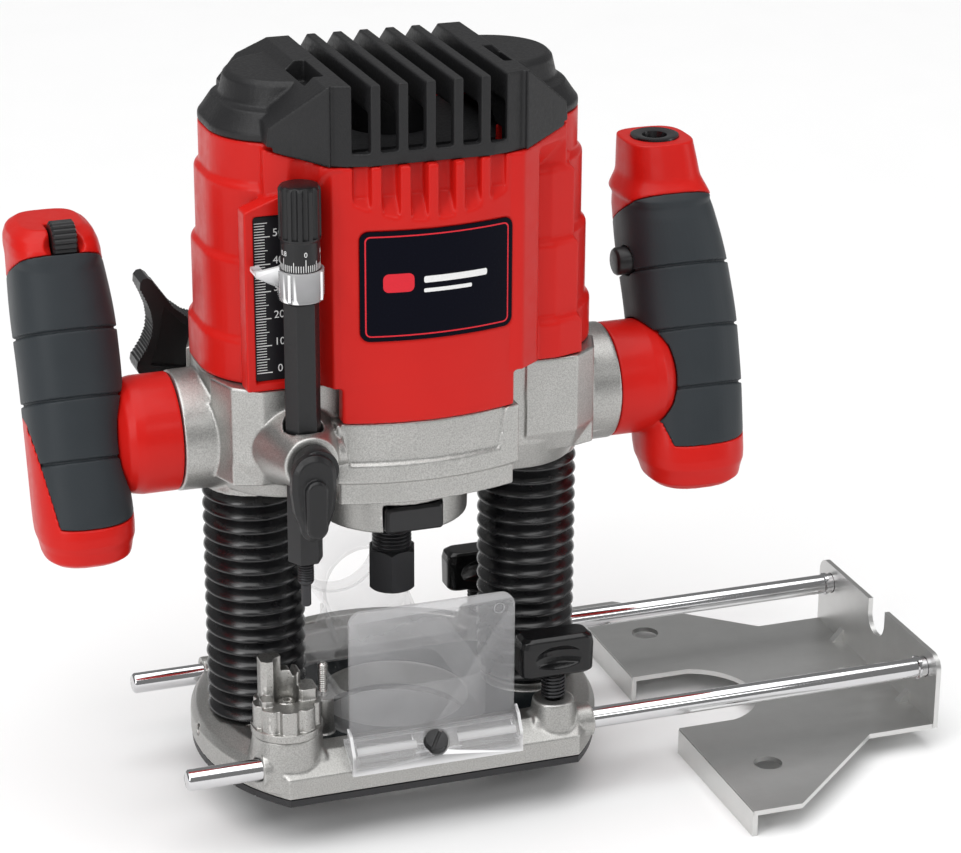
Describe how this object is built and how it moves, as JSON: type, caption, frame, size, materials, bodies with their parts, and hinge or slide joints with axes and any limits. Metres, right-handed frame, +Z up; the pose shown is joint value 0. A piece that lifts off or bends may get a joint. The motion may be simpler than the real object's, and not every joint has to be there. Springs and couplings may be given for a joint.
{
  "type": "plunge router",
  "caption": "Plunge router: twin-column base with side fence, chip guard and depth turret; red motor unit with two handles, depth rod and spindle.",
  "frame": {"origin": "middle of the whole object at the height of its lowest edge, the fence lip", "axes": "+Z up along the spindle and the columns, +X towards the side fence, -Y towards the chip guard (front)"},
  "size_m": [0.3464, 0.192, 0.2872],
  "materials": {
    "cast_aluminium": "satin, cast and shot-blasted",
    "red_plastic": "semi-gloss moulded plastic",
    "black_plastic": "fine-grained moulded plastic",
    "grey_rubber": "soft matt grip rubber",
    "black_rubber": "soft black rubber",
    "chrome_steel": "polished",
    "zinc_sheet": "zinc-plated sheet",
    "turned_steel": "turned, bare",
    "black_steel": "black oxide",
    "clear_plastic": "clear, polished",
    "navy_label": "printed label",
    "black_scale": "printed scale",
    "laminated_steel": "varnished laminations",
    "copper": "bare copper segments",
    "bronze": "bare bronze"
  },
  "bodies": {
    "base": {"base_casting": "cast_aluminium", "sole_plate": "black_plastic", "sole_screw_1": "turned_steel", "sole_screw_2": "turned_steel", "sole_screw_3": "turned_steel", "sole_screw_4": "turned_steel", "column_left": "chrome_steel", "column_right": "chrome_steel", "guard_screw": "black_plastic", "chip_guard": "clear_plastic", "dust_hood": "clear_plastic", "hood_screw": "turned_steel", "clamp_spring_front": "black_steel", "clamp_spring_rear": "black_steel", "return_spring_left": "turned_steel", "return_spring_right": "turned_steel", "bellows_left": "black_rubber", "bellows_right": "black_rubber", "turret_screw": "turned_steel"},
    "turret": {"turret": "turned_steel"},
    "clamp_knob_front": {"clamp_knob_front": "black_plastic"},
    "clamp_knob_rear": {"clamp_knob_rear": "black_plastic"},
    "fence": {"guide_rod_front": "chrome_steel", "guide_rod_rear": "chrome_steel", "fence_plate": "zinc_sheet"},
    "motor_unit": {"motor_bracket": "cast_aluminium", "motor_housing": "red_plastic", "top_cap": "black_plastic", "badge_plate": "navy_label", "depth_scale": "black_scale", "stator": "laminated_steel", "lower_bearing": "chrome_steel", "upper_bearing": "chrome_steel", "brush_holder_left": "bronze", "brush_holder_right": "bronze", "column_bush_left": "bronze", "column_bush_right": "bronze", "handle_left": "red_plastic", "grip_left": "grey_rubber", "handle_right": "red_plastic", "grip_right": "grey_rubber", "cord_inlet": "black_rubber", "handle_screw_left": "turned_steel", "handle_screw_right": "turned_steel"},
    "rotor": {"spindle_shaft": "black_steel", "armature_core": "laminated_steel", "commutator": "copper", "fan": "black_plastic", "collet": "turned_steel", "collet_nut": "black_steel"},
    "spindle_lock": {"spindle_lock": "black_plastic"},
    "plunge_lever": {"plunge_lever": "black_plastic"},
    "depth_rod": {"depth_rod": "black_plastic", "depth_pointer": "clear_plastic"},
    "depth_pin": {"depth_pin": "black_steel"},
    "fine_adjust_knob": {"fine_adjust_knob": "black_plastic"},
    "depth_clamp": {"depth_clamp": "black_plastic"},
    "speed_dial": {"speed_dial": "black_plastic"},
    "trigger": {"trigger": "black_plastic"},
    "lock_button": {"lock_button": "black_plastic"}
  },
  "joints": [
    {"name": "plunge", "type": "slide", "parent": "base", "child": "motor_unit", "axis": [0, 0, 1], "range_m": [-0.04, 0], "stiffness_N_per_m": 300, "springref_m": 0.15, "deforming": ["bellows_left", "bellows_right", "return_spring_left", "return_spring_right"]},
    {"name": "fence_slide", "type": "slide", "parent": "base", "child": "fence", "axis": [1, 0, 0], "range_m": [-0.1, 0.06]},
    {"name": "turret_turn", "type": "hinge", "parent": "base", "child": "turret", "pos_m": [-0.0883, -0.0375, 0.0492], "axis": [0, 0, 1], "continuous": true},
    {"name": "clamp_turn_front", "type": "hinge", "parent": "base", "child": "clamp_knob_front", "pos_m": [0.0147, -0.0425, 0.0592], "axis": [0, 0, 1], "range_deg": [-30, 150]},
    {"name": "clamp_turn_rear", "type": "hinge", "parent": "base", "child": "clamp_knob_rear", "pos_m": [0.0147, 0.0425, 0.0592], "axis": [0, 0, 1], "range_deg": [-30, 150]},
    {"name": "spindle_spin", "type": "hinge", "parent": "motor_unit", "child": "rotor", "pos_m": [-0.0353, 0, 0.1692], "axis": [0, 0, 1], "continuous": true},
    {"name": "spindle_lock_press", "type": "slide", "parent": "motor_unit", "child": "spindle_lock", "axis": [0, 1, 0], "range_m": [0, 0.004], "stiffness_N_per_m": 800, "springref_m": -0.002},
    {"name": "plunge_lever_turn", "type": "hinge", "parent": "motor_unit", "child": "plunge_lever", "pos_m": [-0.0893, 0.045, 0.1652], "axis": [0, 1, 0], "range_deg": [-25, 15]},
    {"name": "depth_rod_slide", "type": "slide", "parent": "motor_unit", "child": "depth_rod", "axis": [0, 0, -1], "range_m": [-0.004, 0.028]},
    {"name": "depth_clamp_turn", "type": "hinge", "parent": "motor_unit", "child": "depth_clamp", "pos_m": [-0.0823, -0.058, 0.1547], "axis": [0, 1, 0], "range_deg": [-30, 90]},
    {"name": "fine_adjust_turn", "type": "hinge", "parent": "depth_rod", "child": "fine_adjust_knob", "pos_m": [-0.0823, -0.0455, 0.2392], "axis": [0, 0, 1], "range_deg": [-1080, 1440]},
    {"name": "depth_pin_feed", "type": "slide", "parent": "depth_rod", "child": "depth_pin", "axis": [0, 0, 1], "range_m": [-0.0029, 0.0039]},
    {"name": "speed_dial_turn", "type": "hinge", "parent": "motor_unit", "child": "speed_dial", "pos_m": [-0.1543, 0.0095, 0.2252], "axis": [1, 0, 0], "range_deg": [-150, 150]},
    {"name": "trigger_press", "type": "slide", "parent": "motor_unit", "child": "trigger", "axis": [0, -1, 0], "range_m": [0, 0.005], "stiffness_N_per_m": 600, "springref_m": -0.003},
    {"name": "lock_button_press", "type": "slide", "parent": "motor_unit", "child": "lock_button", "axis": [1, 0, 0], "range_m": [0, 0.003], "stiffness_N_per_m": 500, "springref_m": -0.002}
  ],
  "couplings": [
    {"joint": "fine_adjust_turn", "follows": "depth_pin_feed", "rad_per_m": 6283.2}
  ]
}
